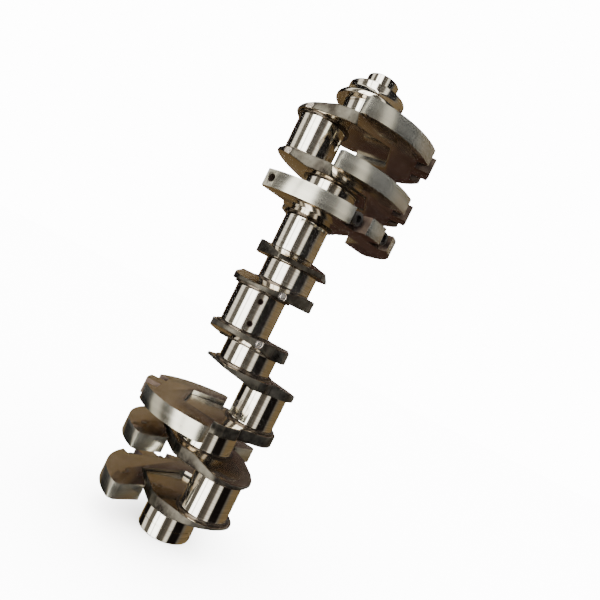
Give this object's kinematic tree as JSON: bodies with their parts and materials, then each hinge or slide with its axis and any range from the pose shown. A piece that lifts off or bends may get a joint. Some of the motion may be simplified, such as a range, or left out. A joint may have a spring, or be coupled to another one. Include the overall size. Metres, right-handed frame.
{
  "type": "crankshaft",
  "caption": "Forged and ground crankshaft of a heavy V engine, with side-by-side rod journals, angled throws and bolted half-disc counterweights.",
  "frame": {"origin": "centre of the rear end face, on the shaft's axis", "axes": "+Z along the shaft's axis from the rear end to the nose; the first crankpin points along -X"},
  "size_m": [0.2959, 0.2959, 0.908],
  "materials": {
    "ground_forged_steel": "journals ground to a mirror, web sides as forged and shot-blasted",
    "turned_counterweight_steel": "fine turned rims and milled faces, lightly oiled",
    "blackened_bolt_steel": "black oxide",
    "bright_plug_steel": "bright turned"
  },
  "bodies": {
    "root": {"crankshaft_forging": "ground_forged_steel", "counterweight_1": "turned_counterweight_steel", "counterweight_2": "turned_counterweight_steel", "counterweight_3": "turned_counterweight_steel", "counterweight_8": "turned_counterweight_steel", "counterweight_9": "turned_counterweight_steel", "counterweight_10": "turned_counterweight_steel", "counterweight_1_bolt_a": "blackened_bolt_steel", "counterweight_1_bolt_b": "blackened_bolt_steel", "counterweight_2_bolt_a": "blackened_bolt_steel", "counterweight_2_bolt_b": "blackened_bolt_steel", "counterweight_3_bolt_a": "blackened_bolt_steel", "counterweight_3_bolt_b": "blackened_bolt_steel", "counterweight_8_bolt_a": "blackened_bolt_steel", "counterweight_8_bolt_b": "blackened_bolt_steel", "counterweight_9_bolt_a": "blackened_bolt_steel", "counterweight_9_bolt_b": "blackened_bolt_steel", "counterweight_10_bolt_a": "blackened_bolt_steel", "counterweight_10_bolt_b": "blackened_bolt_steel", "oilway_plug_1": "bright_plug_steel", "oilway_plug_2": "bright_plug_steel", "oilway_plug_3": "bright_plug_steel", "oilway_plug_4": "bright_plug_steel", "oilway_plug_5": "bright_plug_steel", "oilway_plug_6": "bright_plug_steel", "oilway_plug_7": "bright_plug_steel", "oilway_plug_8": "bright_plug_steel", "oilway_plug_9": "bright_plug_steel", "oilway_plug_10": "bright_plug_steel"}
  },
  "joints": []
}
